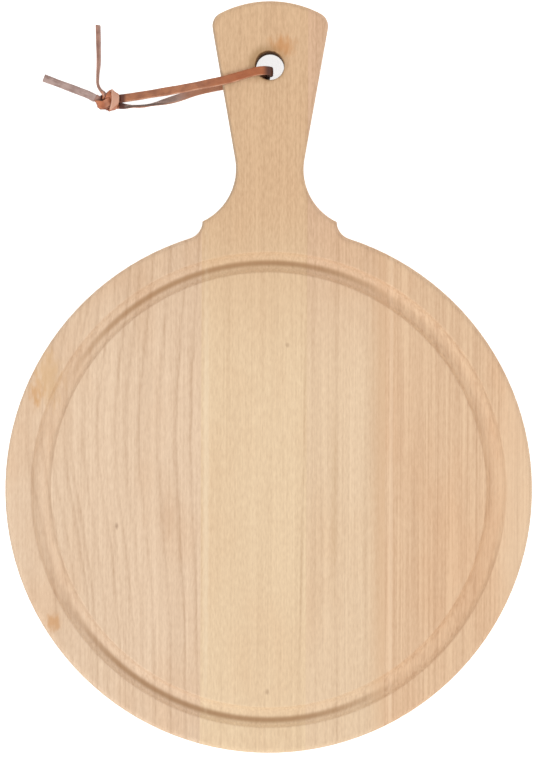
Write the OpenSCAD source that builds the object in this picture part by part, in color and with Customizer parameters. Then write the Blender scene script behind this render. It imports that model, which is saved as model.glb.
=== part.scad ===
// Round serving board with a paddle handle, glued up from five pieces of wood, and the leather
// lace that hangs it. It lies on its back on a flat surface at z = 0 with its handle towards +Y.
// The lace runs under the handle, so the board rests on it and on the far rim of the disc.

/* [Board] */
// Diameter of the disc
disc_d = 300; // [240:1:360]
// Thickness of the wood
thickness = 18; // [15:0.5:24]
// Radius of the rounding along every edge
edge_r = 3; // [1.5:0.1:4]

/* [Handle] */
// How far the handle reaches beyond the disc
handle_len = 128; // [112:1:160]
// Width of the handle at its neck
neck_w = 38.5; // [34:0.5:42]
// Radius of the hollow that forms each side of the neck
neck_r = 33; // [30:0.5:38]
// Width across the two shoulders where the handle meets the disc
shoulder_w = 76.5; // [70:0.5:84]
// Radius of the cove between shoulder and disc
cove_r = 10; // [7:0.5:12]
// Angle at which each side of the handle flares out, in degrees
taper_angle = 10; // [8:0.5:12]
// Radius of the arc across the top of the handle
top_r = 62; // [54:1:80]
// Radius of the two corners at the top of the handle
corner_r = 8; // [6:0.5:10]

/* [Hanging hole] */
// Diameter of the hole
hole_d = 16; // [15:0.5:19]
// Distance from the top of the handle to the middle of the hole
hole_inset = 37; // [34:0.5:42]
// Radius of the softened rims of the hole
hole_rim_r = 1; // [0.6:0.1:1.4]

/* [Juice groove] */
// Distance from the rim of the disc to the middle of the groove
groove_inset = 20.5; // [16:0.5:34]
// Radius of the round-nosed cutter that leaves the groove
groove_cutter_r = 6.5; // [5:0.1:8]
// Depth of the groove
groove_depth = 3.5; // [2:0.1:4.5]
// Radius of the softened rims of the groove
groove_rim_r = 1.2; // [0.6:0.1:1.6]

/* [Staves] */
// How far the left glue line lies outside the corner of the shoulder
shoulder_lip = 0.25; // [0.2:0.05:1]
// How far the middle glue line lies outside the neck
neck_lip = 2.25; // [1.5:0.25:4]
// Distance from the middle of the board to the right glue line
right_glue = 66; // [60:0.5:80]

/* [Lace] */
// Width of the leather lace
lace_w = 4.4; // [4:0.1:4.8]
// Thickness of the leather lace
lace_t = 1.6; // [1.4:0.1:1.8]
// How far the cut edges of the lace are eased
lace_ease = 0.35; // [0.2:0.05:0.5]
// Clearance between the lace and the wood that rests on it
lace_gap = 0.1; // [0.05:0.05:0.3]
// Thickness of the lace where the knot squeezes it
knot_t = 1.4; // [1.2:0.1:1.6]

/* [Hidden] */
$fa = 6;
$fs = 0.6;

// How far every cutting tool runs past the wood
overrun = 2;
// Facets of each rounded edge, of the rims of the hole and the groove and of each arc of the outline
edge_facets = 5;
hole_rim_facets = 3;
groove_rim_facets = 4;
top_facets = 8;
corner_facets = 8;
neck_facets = 12;
cove_facets = 8;
// Angle that one facet of the disc's rim spans
rim_step = 3;

beech_left = [0.90, 0.78, 0.66];
beech_handle = [0.88, 0.74, 0.60];
beech_middle = [0.91, 0.79, 0.66];
beech_right = [0.88, 0.74, 0.60];
leather = [0.66, 0.40, 0.29];

// The plan of the board, measured from the middle of the disc. Each hollow and corner is a
// circle that touches its neighbours, so the plan follows from the named widths and radii.
disc_r = disc_d / 2;
board_len = disc_d + handle_len;
top_c = [0, board_len - disc_r - top_r];
cove_x = shoulder_w / 2 + cove_r;
cove_c = [cove_x, sqrt(pow(disc_r + cove_r, 2) - pow(cove_x, 2))];
cove_angle = atan2(cove_c.y, cove_c.x);
neck_x = neck_w / 2 + neck_r;
neck_c = [neck_x, cove_c.y + sqrt(pow(neck_r, 2) - pow(neck_x - shoulder_w / 2, 2))];
taper_out = [cos(taper_angle), -sin(taper_angle)];
taper_along = [sin(taper_angle), cos(taper_angle)];
taper_start = neck_c - neck_r * taper_out;
corner_from = taper_start - corner_r * taper_out - top_c;
corner_run = sqrt(pow(corner_from * taper_along, 2) - corner_from * corner_from
    + pow(top_r - corner_r, 2)) - corner_from * taper_along;
corner_c = top_c + corner_from + corner_run * taper_along;
corner_angle = atan2(corner_c.y - top_c.y, corner_c.x - top_c.x);
left_glue = shoulder_w / 2 + shoulder_lip;
neck_glue = neck_w / 2 + neck_lip;
hole_c = [0, board_len - disc_r - hole_inset];
groove_r = disc_r - groove_inset;

// Route of the lace in the finished pose: x, y, height, and the roll of its flat side in
// degrees. It comes up through the hole, runs to the knot and back under the handle.
lace_lift = 0.03;
lace_rest = lace_t / 2 + lace_lift;
front_route = [[-0.8, 173.6, 11, 0], [-0.8, 174, 14, 0], [-0.8, 174.3, 17.5, 0],
    [-1.5, 174.5, 19.7, 0], [-3.4, 174.6, 21, 4], [-6, 174.4, 21.3, 8], [-10, 173.6, 21.3, 11],
    [-16.5, 171.8, 21.2, 12], [-23.3, 169.9, 21.2, 13], [-30, 168.6, 20.8, 14], [-37, 167.5, 18.8, 15],
    [-46, 166.2, 14.2, 16], [-56, 164.8, 9.6, 17], [-66, 163.4, 6.6, 18], [-76, 161.9, 5, 19],
    [-86.2, 160.5, 4.4, 20]];
back_route = [[-0.8, 173.6, 11, 0], [-0.8, 173.2, 8, 0], [-0.8, 172.7, 4.2, 0],
    [-1.6, 172.6, 1.9, 0], [-3.8, 172.2, 0.9, 0], [-7.5, 171.1, lace_rest, 0], [-14, 169.7, lace_rest, 0],
    [-20.5, 168.2, lace_rest, 0], [-27, 166.7, lace_rest, 0], [-37.3, 163.8, lace_rest, 0],
    [-46, 161.1, 1.3, 12], [-51, 159.5, 1.9, 30], [-55.7, 158, 2.4, 55], [-60, 156.6, 2.4, 80],
    [-64.9, 155.3, 2.4, 90], [-73.5, 154.6, 2.7, 90], [-80.4, 155.6, 3.1, 90], [-86.2, 157, 3.6, 90]];
left_tail_route = [[-100.2, 159.9, 3.9, 0], [-103, 161.6, 3.4, 0], [-109.5, 164.2, 2.5, 0],
    [-116.9, 167, 1.7, 0], [-123.5, 169.4, 1.2, 0], [-129.9, 171.7, 0.9, 0]];
upper_tail_route = [[-96, 163.2, 4.2, 60], [-97.6, 164.8, 3.4, 80], [-98.8, 167.8, 2.8, 90],
    [-98.8, 171.6, 2.6, 90], [-98, 178.7, 2.5, 80], [-98, 190.7, 2.5, 74], [-98.1, 201.6, 2.5, 72]];

// The knot is an overhand knot tied in both ends of the lace at once. Each route runs from the
// hole's side to a tail: it lies flat across the knot, folds back at the left, folds over at the
// ear beside the tails, comes down across the front as the belt, turns under and rises between.
// A point is x, y and height from the middle of the knot, then the way that the width points.
knot_c = [-93.4, 158.3, 0.1];
knot_steps = 3;
first_fold = [[6.9, 2.1, 4.4, -0.1, 0.9, -0.3], [5.4, 1.7, 4.2, 0, 1, 0], [3, 0.6, 5, -0.2, 1, 0],
    [0.6, -1.2, 5.9, -0.5, 0.9, 0], [-2, -2.5, 5.6, -0.2, 1, 0], [-4.2, -2.4, 4.6, -0.1, 1, 0.1],
    [-5.7, -1.6, 3.2, -0.4, 0.8, 0.5], [-4.6, -0.4, 1.7, -0.9, 0.5, 0], [-2.4, 1.4, 1.2, -0.6, 0.8, 0],
    [0.4, 2.6, 1.8, -0.4, 0.9, 0.1], [2.6, 4, 3.4, -0.4, 0.8, 0.4], [4.2, 4.6, 5.4, -0.6, 0.5, 0.6],
    [4.9, 2.6, 7, -0.9, 0, 0.4], [4.9, -0.6, 7.3, -0.9, -0.1, 0.4], [4.1, -3.6, 6.4, -0.8, -0.3, 0.4],
    [3, -5.3, 4.2, -0.8, -0.3, 0.4], [2.2, -4.6, 2, -0.9, 0, 0.1], [1, -2.2, 1, -0.9, -0.3, 0],
    [-1.2, -0.4, 1, -0.6, -0.8, 0], [-3.4, 0.3, 2, -0.4, -0.9, 0], [-5.1, 0.6, 3.5, -0.5, -0.9, 0],
    [-6.4, 1.3, 3.8, -0.5, -0.9, -0.1]];
second_fold = [[6.8, -1.2, 3.6, -0.1, 0, -1], [5.2, -1.4, 3.6, 0, 0.5, -0.9], [2.6, -2.2, 2.9, 0, 1, -0.3],
    [0, -2.9, 3, 0, 1, 0], [-2.4, -3, 3.4, 0, 1, 0], [-4.4, -2.8, 2.8, -0.3, 0.8, 0.4],
    [-4.4, -1.6, 1.5, -0.9, 0.5, 0], [-2.6, 0.6, 1, -0.7, 0.7, 0], [0, 2.2, 1, -0.5, 0.9, 0],
    [1.6, 3.6, 1.9, -0.4, 0.8, 0.3], [2.6, 4.2, 4, -0.6, 0.5, 0.6], [1.9, 2.8, 5.6, -1, 0, 0],
    [1, 0.6, 4.9, -1, 0, -0.2], [0.9, -1.6, 4.3, -1, 0, 0], [1.2, -3.9, 3.6, -1, 0, 0],
    [1.6, -5, 2.5, -1, 0, 0], [1.4, -4, 1, -1, 0, 0], [0.4, -1.6, 0.9, -1, -0.3, 0],
    [-0.7, 1, 2.2, -0.8, -0.2, 0.6], [-1.4, 3.4, 4.6, -0.5, 0, 0.9], [-2.4, 4.7, 4.3, -0.4, 0.1, 0.9]];

// The pose. The board turns about the lowest line of its far rim until the handle clears the
// lace, then moves so that the origin lies under the middle of the whole length.
pivot_y = edge_r - disc_r;
lace_leaves_y = back_route[8].y - lace_w / 2;
tilt = asin((lace_lift + lace_t + lace_gap) / (lace_leaves_y - edge_r + board_len / 2));

// Joins a point in the plan and a height
function raised(p, z) = [p.x, p.y, z];
function unit(v) = v / norm(v);

// Points along an arc. An open arc leaves its last point to the line that follows it.
function arc(c, r, from, to, steps, open = 1) = [for (i = [0:steps - open])
    let (a = from + (to - from) * i / steps) c + r * [cos(a), sin(a)]];
function rim_facets(from, to) = ceil(abs(to - from) / rim_step);
// Angle at which a circle crosses an upright line
function crossing(c, r, x) = acos((x - c.x) / r);
function rim_crossing(x, inset) = crossing([0, 0], disc_r - inset, x);
// Turns a plan over to the left half and keeps its direction
function mirrored(points, skip = 0) =
    [for (i = [len(points) - 1:-1:skip]) [-points[i].x, points[i].y]];

// Every line of the plan can be drawn a given inset inside the true outline. Inside it the neck
// and cove circles grow, and meet at a corner that moves in from the shoulder.
function shoulder_angle(inset) =
    let (n = neck_r + inset, v = cove_r + inset, span = cove_c - neck_c, far = norm(span))
    atan2(span.y, span.x) - acos((n * n + far * far - v * v) / (2 * n * far));
function shoulder_point(inset) = neck_c
    + (neck_r + inset) * [cos(shoulder_angle(inset)), sin(shoulder_angle(inset))];
function cove_start(inset) =
    let (p = shoulder_point(inset) - cove_c, a = atan2(p.y, p.x)) a > 0 ? a - 360 : a;
function top_line(inset, from, to, open = 1) =
    arc(top_c, top_r - inset, from, to, top_facets, open);
function corner_line(inset) =
    arc(corner_c, corner_r - inset, corner_angle, -taper_angle, corner_facets, 0);
function neck_line(inset, from, to, open = 1) =
    arc(neck_c, neck_r + inset, from, to, neck_facets, open);
function cove_line(inset, from, to, open = 1) =
    arc(cove_c, cove_r + inset, from, to, cove_facets, open);
function rim_line(inset, from, to, steps) = arc([0, 0], disc_r - inset, from, to, steps, 0);
function taper_point(inset) = let (start = taper_start - inset * taper_out)
    start + (neck_glue - start.x) / taper_along.x * taper_along;
function top_glue(inset) = crossing(top_c, top_r - inset, neck_glue);
function neck_glue_angle(inset) = -crossing(neck_c, neck_r + inset, neck_glue);
function cove_glue_angle(inset) = -crossing(cove_c, cove_r + inset, left_glue);

// Plans of the five pieces, clockwise from above
function left_plan(inset) = mirrored(concat(
    cove_line(inset, cove_glue_angle(inset), cove_angle - 180),
    rim_line(inset, cove_angle, -rim_crossing(left_glue, inset),
        rim_facets(cove_angle, -rim_crossing(left_glue, 0)))));
function handle_plan(inset) = concat(
    top_line(inset, 90, top_glue(inset), 0),
    [taper_point(inset)],
    neck_line(inset, -180 - taper_angle, neck_glue_angle(inset), 0),
    rim_line(inset, -rim_crossing(neck_glue, inset), rim_crossing(left_glue, inset) - 180,
        rim_facets(-rim_crossing(neck_glue, 0), rim_crossing(left_glue, 0) - 180)),
    mirrored(concat(
        top_line(inset, 90, corner_angle),
        corner_line(inset),
        neck_line(inset, -180 - taper_angle, shoulder_angle(inset)),
        cove_line(inset, cove_start(inset), cove_glue_angle(inset), 0)), 1));
function middle_plan(inset) = concat(
    neck_line(inset, neck_glue_angle(inset), shoulder_angle(inset)),
    cove_line(inset, cove_start(inset), cove_angle - 180),
    rim_line(inset, cove_angle, rim_crossing(right_glue, inset),
        rim_facets(cove_angle, rim_crossing(right_glue, 0))),
    rim_line(inset, -rim_crossing(right_glue, inset), -rim_crossing(neck_glue, inset),
        rim_facets(rim_crossing(right_glue, 0), rim_crossing(neck_glue, 0))));
function right_plan(inset) = rim_line(inset, rim_crossing(right_glue, inset),
    -rim_crossing(right_glue, inset), rim_facets(0, 2 * rim_crossing(right_glue, 0)));
function cheek_plan(inset) = concat(
    top_line(inset, top_glue(inset), corner_angle),
    corner_line(inset),
    [taper_point(inset)]);

// Inset and height of each ring of the rounded edge, from the underside to the top
lower_edge = [for (i = [0:edge_facets]) let (a = 90 * i / edge_facets)
    [edge_r * (1 - sin(a)), edge_r * (1 - cos(a))]];
edge_profile = concat(lower_edge,
    [for (i = [edge_facets:-1:0]) [lower_edge[i].x, thickness - lower_edge[i].y]]);

// Cuts a clockwise plan into triangles by taking off one protruding corner after another
function turn(a, b, c) = cross(b - a, c - a);
function holds(a, b, c, p) = turn(a, b, p) <= 0 && turn(b, c, p) <= 0 && turn(c, a, p) <= 0;
function protrudes(plan, ids, k) =
    let (n = len(ids), a = plan[ids[(k + n - 1) % n]], b = plan[ids[k]], c = plan[ids[(k + 1) % n]])
    turn(a, b, c) < 0 && len([for (j = [2:n - 2]) if (holds(a, b, c, plan[ids[(k + j) % n]])) j]) == 0;
function next_corner(plan, ids, k) =
    protrudes(plan, ids, k) ? k : next_corner(plan, ids, (k + 1) % len(ids));
function triangles(plan, ids, from = 0) = let (n = len(ids)) n == 3 ? [ids]
    : let (k = next_corner(plan, ids, from % n))
    concat([[ids[(k + n - 1) % n], ids[k], ids[(k + 1) % n]]],
        triangles(plan, [for (i = [0:n - 1]) if (i != k) ids[i]], k + 1));
function ids(points) = [for (i = [0:len(points) - 1]) i];

// Solid through a stack of closed rings with as many points each, its ends closed by the faces
// of the cap, which lists points of a ring
module skin(rings, cap) {
    n = len(rings[0]);
    last = len(rings) - 1;
    sides = [for (k = [0:last - 1], i = [0:n - 1]) let (j = (i + 1) % n, a = k * n, b = a + n)
        each [[a + i, a + j, b + j], [a + i, b + j, b + i]]];
    first_end = [for (face = cap) [for (i = [len(face) - 1:-1:0]) face[i]]];
    last_end = [for (face = cap) [for (i = face) last * n + i]];
    polyhedron([for (ring = rings) each ring], concat(first_end, last_end, sides), convexity = 6);
}

module laid() {
    translate([0, disc_r - board_len / 2 + pivot_y, 0]) rotate([tilt, 0, 0])
        translate([0, -pivot_y, 0]) children();
}

// Channel around the disc that catches the juice. The middle of each rim's rounding lies one
// rim radius below the surface and touches the cutter's circle from outside.
module groove() {
    cutter_rise = groove_cutter_r - groove_depth;
    rim_x = sqrt(pow(groove_cutter_r + groove_rim_r, 2) - pow(cutter_rise + groove_rim_r, 2));
    rim_end = 180 - atan2(cutter_rise + groove_rim_r, rim_x);
    rim = arc([rim_x, -groove_rim_r], groove_rim_r, 90, rim_end, groove_rim_facets, 0);
    rotate_extrude() translate([groove_r, thickness]) {
        translate([0, cutter_rise]) circle(groove_cutter_r);
        polygon(concat([[rim_x, overrun]], rim, mirrored(rim), [[-rim_x, overrun]]));
    }
}

// Bore through the handle with softened rims
module hanging_hole() {
    r = hole_d / 2;
    rim = [for (i = [0:hole_rim_facets]) let (a = 90 * i / hole_rim_facets)
        [r + hole_rim_r * (1 - sin(a)), hole_rim_r * (1 - cos(a))]];
    translate(hole_c) rotate_extrude() polygon(concat(
        [[0, -overrun], [r + hole_rim_r, -overrun]], rim,
        [for (i = [hole_rim_facets:-1:0]) [rim[i].x, thickness - rim[i].y]],
        [[r + hole_rim_r, thickness + overrun], [0, thickness + overrun]]));
}

module stave(plans) {
    skin([for (i = [0:len(edge_profile) - 1]) [for (p = plans[i]) raised(p, edge_profile[i].y)]],
        triangles(plans[0], ids(plans[0])));
}

// Section of a leather strip with eased edges, for its width and thickness
function strip_outline(w, t) = [[w / 2, lace_ease - t / 2], [w / 2 - lace_ease, -t / 2],
    [lace_ease - w / 2, -t / 2], [-w / 2, lace_ease - t / 2], [-w / 2, t / 2 - lace_ease],
    [lace_ease - w / 2, t / 2], [w / 2 - lace_ease, t / 2], [w / 2, t / 2 - lace_ease]];
function place(q) = [q.x, q.y, q.z];
function ahead(route, i) =
    unit(place(route[min(i + 1, len(route) - 1)]) - place(route[max(i - 1, 0)]));
// Ring of the section, its width as near to the given direction as the way ahead lets it be
function strip_ring(at, along, given, roll, outline) =
    let (flat = unit(given - (given * along) * along),
        wide = cos(roll) * flat + sin(roll) * cross(along, flat), up = cross(along, wide))
    [for (p = outline) at + p.x * wide + p.y * up];
module strip(route, across) {
    outline = strip_outline(lace_w, lace_t);
    skin([for (i = [0:len(route) - 1])
        strip_ring(place(route[i]), ahead(route, i), across, route[i][3], outline)], [ids(outline)]);
}

// Smooth line through a route. Each span is the cubic whose slope at a point is half the way
// from the point before to the point after.
function slope(route, i) = (route[min(i + 1, len(route) - 1)] - route[max(i - 1, 0)]) / 2;
function span(route, i, t) = let (to = t * t * (3 - 2 * t))
    (1 - to) * route[i] + to * route[i + 1] + t * (1 - t) * (1 - t) * slope(route, i)
    - t * t * (1 - t) * slope(route, i + 1);
function eased(route, steps) = [for (i = [0:steps * (len(route) - 1)])
    let (k = min(floor(i / steps), len(route) - 2)) span(route, k, i / steps - k)];
// Leather of the knot along a fold, each length of it spanning two rings
module folded(route) {
    outline = strip_outline(lace_w, knot_t);
    line = eased(route, knot_steps);
    rings = [for (i = [0:len(line) - 1]) let (q = line[i])
        strip_ring(knot_c + place(q), ahead(line, i), [q[3], q[4], q[5]], 0, outline)];
    for (i = [1:len(rings) - 1])
        hull() skin([rings[i - 1], rings[i]], [ids(outline)]);
}

module left_stave() {
    color(beech_left) laid() difference() {
        stave([for (e = edge_profile) left_plan(e.x)]);
        groove();
    }
}
module handle_stave() {
    color(beech_handle) laid() difference() {
        stave([for (e = edge_profile) handle_plan(e.x)]);
        groove();
        hanging_hole();
    }
}
module middle_stave() {
    color(beech_middle) laid() difference() {
        stave([for (e = edge_profile) middle_plan(e.x)]);
        groove();
    }
}
module right_stave() {
    color(beech_right) laid() difference() {
        stave([for (e = edge_profile) right_plan(e.x)]);
        groove();
    }
}
module head_cheek() {
    color(beech_middle) laid() stave([for (e = edge_profile) cheek_plan(e.x)]);
}
module lace_front_run() {
    color(leather) strip(front_route, [0, 1, 0]);
}
module lace_back_run() {
    color(leather) strip(back_route, [0, 1, 0]);
}
module lace_left_tail() {
    color(leather) strip(left_tail_route, [0, 1, 0]);
}
module lace_upper_tail() {
    color(leather) strip(upper_tail_route, [1, 0, 0]);
}
module lace_knot() {
    color(leather) union() {
        folded(first_fold);
        folded(second_fold);
    }
}

left_stave();
handle_stave();
middle_stave();
right_stave();
head_cheek();
lace_front_run();
lace_back_run();
lace_knot();
lace_left_tail();
lace_upper_tail();
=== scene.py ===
"""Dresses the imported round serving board: five glued beech staves and one knotted leather lace.

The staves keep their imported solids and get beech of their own. The lace's five solids are replaced
by strips of leather carried along their routes, or up to 2 mm beside them. The classes hold their
sizes in millimetres, and Blender's objects are in metres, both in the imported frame.
"""
from __future__ import annotations

import logging
import math
from dataclasses import dataclass
from enum import Enum, IntEnum
from typing import Any

import bpy
import numpy as np
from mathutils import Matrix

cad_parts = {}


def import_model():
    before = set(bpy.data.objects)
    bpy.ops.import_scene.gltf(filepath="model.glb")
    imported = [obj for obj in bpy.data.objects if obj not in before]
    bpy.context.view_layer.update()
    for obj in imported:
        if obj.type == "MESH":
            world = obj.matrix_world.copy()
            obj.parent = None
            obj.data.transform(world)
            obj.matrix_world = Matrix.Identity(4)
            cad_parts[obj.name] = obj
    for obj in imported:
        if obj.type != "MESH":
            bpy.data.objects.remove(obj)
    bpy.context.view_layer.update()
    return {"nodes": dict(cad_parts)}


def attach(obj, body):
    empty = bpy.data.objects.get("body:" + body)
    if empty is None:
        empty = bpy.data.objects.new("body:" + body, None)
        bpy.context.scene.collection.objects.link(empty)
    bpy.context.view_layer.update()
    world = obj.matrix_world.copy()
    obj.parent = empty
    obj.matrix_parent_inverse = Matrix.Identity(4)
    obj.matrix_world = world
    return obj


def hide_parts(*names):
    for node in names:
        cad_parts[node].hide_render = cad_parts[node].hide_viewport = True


LOG = logging.getLogger("serving_board")
MM = 0.001
# A colour ramp holds 32 stops, and each part of a longer row of stops gets two more at its ends.
RAMP_STOPS = 28
Pair = tuple[float, float]
Triple = tuple[float, float, float]
Span = tuple[float, float, float, float]
Point = tuple[float, float, float, float]
Fold = tuple[float, float, float, float, float, float]
Shade = tuple[float, float, float, str]


def linear(tone: str) -> tuple[float, float, float, float]:
    """Turn an sRGB hex tone into linear colour.

    Args:
        tone: six hex digits, such as "e1c1a1".

    Returns:
        Linear red, green, blue and an alpha of one.
    """
    steps = [int(tone[i:i + 2], 16) / 255 for i in (0, 2, 4)]
    red, green, blue = [s / 12.92 if s <= 0.04045 else ((s + 0.055) / 1.055) ** 2.4 for s in steps]
    return red, green, blue, 1.0


def add_node(tree: bpy.types.NodeTree, kind: str, inputs: dict[Any, Any] | None = None,
             stops: list[tuple[float, float]] | None = None, **settings: Any) -> bpy.types.Node:
    """Add one shader node with its settings, its values and its links.

    Args:
        tree: the material's or world's node tree.
        kind: the node's type after "ShaderNode".
        inputs: socket name or number, with a value or another node's output to link to it.
        stops: for a colour ramp, each stop's place and grey level.
        **settings: the node's own properties, such as operation.

    Returns:
        The new node.
    """
    node = tree.nodes.new("ShaderNode" + kind)
    for name, value in settings.items():
        setattr(node, name, value)
    for key, value in (inputs or {}).items():
        if isinstance(value, bpy.types.NodeSocket):
            tree.links.new(value, node.inputs[key])
        else:
            node.inputs[key].default_value = value
    if stops:
        ramp = node.color_ramp
        while len(ramp.elements) < len(stops):
            ramp.elements.new(1.0)
        for element, (place, level) in zip(ramp.elements, stops):
            element.position = place
            element.color = (level, level, level, 1.0)
    return node


@dataclass(frozen=True)
class Lumps:
    """A noise: its lumps' sizes in mm along X, Y and Z, how many finer layers are added, and the
    number that it adds to its piece's seed, so that no two noises share a pattern."""

    size: Triple
    detail: float
    shift: float = 0.0


class Shades:
    """A material being made: short ways to add nodes and to read the piece's own millimetres.

    A seed moves a noise along seed_way, which lies along no axis.
    """

    seed_way: Triple = (1.0, 1.7, 0.6)

    def __init__(self, name: str) -> None:
        """Start an empty material.

        Args:
            name: the material's name.
        """
        self.material = bpy.data.materials.new(name)
        self.material.use_nodes = True
        self.tree = self.material.node_tree
        self.tree.nodes.clear()
        self.place = add_node(self.tree, "TexCoord")
        self.mm = self.add("VectorMath", {0: self.place.outputs["Object"], 3: 1 / MM},
                           operation="SCALE").outputs[0]

    def add(self, kind: str, inputs: dict[Any, Any] | None = None,
            **settings: Any) -> bpy.types.Node:
        """Add a node to this material's tree."""
        return add_node(self.tree, kind, inputs, **settings)

    def math(self, operation: str, *values: Any) -> bpy.types.NodeSocket:
        """Work out one number from sockets or plain numbers."""
        return self.add("Math", dict(enumerate(values)), operation=operation).outputs[0]

    def noise(self, lumps: Lumps, seed: float = 0.0) -> bpy.types.NodeSocket:
        """Give a noise value whose lumps have the sizes asked for.

        Args:
            lumps: the lumps' sizes, layers and shift.
            seed: the piece's own seed.

        Returns:
            The noise, about 0.5 in the middle.
        """
        moved = tuple((seed + lumps.shift) * way for way in self.seed_way)
        scaled = self.add("VectorMath", {0: self.mm, 1: tuple(1 / s for s in lumps.size), 2: moved},
                          operation="MULTIPLY_ADD").outputs[0]
        return self.add("TexNoise", {"Vector": scaled, "Scale": 1.0,
                                     "Detail": lumps.detail}).outputs[0]

    def ease(self, value: bpy.types.NodeSocket, low: float, high: float, to_low: float = 0.0,
             to_high: float = 1.0) -> bpy.types.NodeSocket:
        """Map a range smoothly to another range.

        Args:
            value: the socket to read.
            low: where the rise starts.
            high: where the rise ends.
            to_low: the result at the start.
            to_high: the result at the end.

        Returns:
            The eased value.
        """
        return self.add("MapRange", {0: value, 1: low, 2: high, 3: to_low, 4: to_high},
                        interpolation_type="SMOOTHSTEP").outputs[0]

    def blend(self, amount: Any, first: Any, second: Any) -> bpy.types.NodeSocket:
        """Mix two colours.

        Args:
            amount: the share of the second colour, a number or a socket.
            first: the colour below, a socket or a linear colour.
            second: the colour above, a socket or a linear colour.

        Returns:
            The mixed colour.
        """
        return self.add("Mix", {0: amount, 6: first, 7: second}, data_type="RGBA").outputs[2]

    def finish(self, colour: bpy.types.NodeSocket, roughness: Any, height: bpy.types.NodeSocket,
               depth: float, ior: float) -> bpy.types.Material:
        """Put the shader at the end.

        Args:
            colour: the surface colour.
            roughness: a number or a socket.
            height: the bump's height, from 0 to 1.
            depth: the bump's depth in millimetres.
            ior: the surface's index of refraction.

        Returns:
            The finished material.
        """
        bump = self.add("Bump", {"Strength": 1.0, "Distance": depth * MM, "Height": height})
        shader = self.add("BsdfPrincipled", {"Base Color": colour, "Roughness": roughness,
                                             "IOR": ior, "Normal": bump.outputs[0]})
        self.add("OutputMaterial", {"Surface": shader.outputs[0]})
        return self.material


@dataclass(frozen=True)
class Mark:
    """A natural mark in the wood: its place and reach in mm, its tone, its strength, the share of
    the reach over which it is full, and how frayed its border is."""

    x: float
    y: float
    wide: float
    tall: float
    tone: str
    strength: float
    core: float = 0.1
    fray: float = 1.0

    def lay(self, wood: Shades, colour: bpy.types.NodeSocket,
            fibres: bpy.types.NodeSocket) -> bpy.types.NodeSocket:
        """Lay the mark over the wood.

        far = the length of ((x - mark x) / wide, (y - mark y) / tall) + fray fibres, and the
        mark's strength fades from far = core to far = 1.

        Args:
            wood: the material being made.
            colour: the wood's colour so far.
            fibres: the noise that frays the border, about 0 in the middle.

        Returns:
            The colour with the mark.
        """
        scaled = wood.add("VectorMath", {0: wood.mm, 1: (1 / self.wide, 1 / self.tall, 0.0),
                                         2: (-self.x / self.wide, -self.y / self.tall, 0.0)},
                          operation="MULTIPLY_ADD").outputs[0]
        far = wood.add("VectorMath", {0: scaled}, operation="LENGTH").outputs["Value"]
        share = wood.ease(wood.math("MULTIPLY_ADD", fibres, self.fray, far), self.core, 1.0,
                          self.strength, 0.0)
        return wood.blend(share, colour, linear(self.tone))


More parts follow.
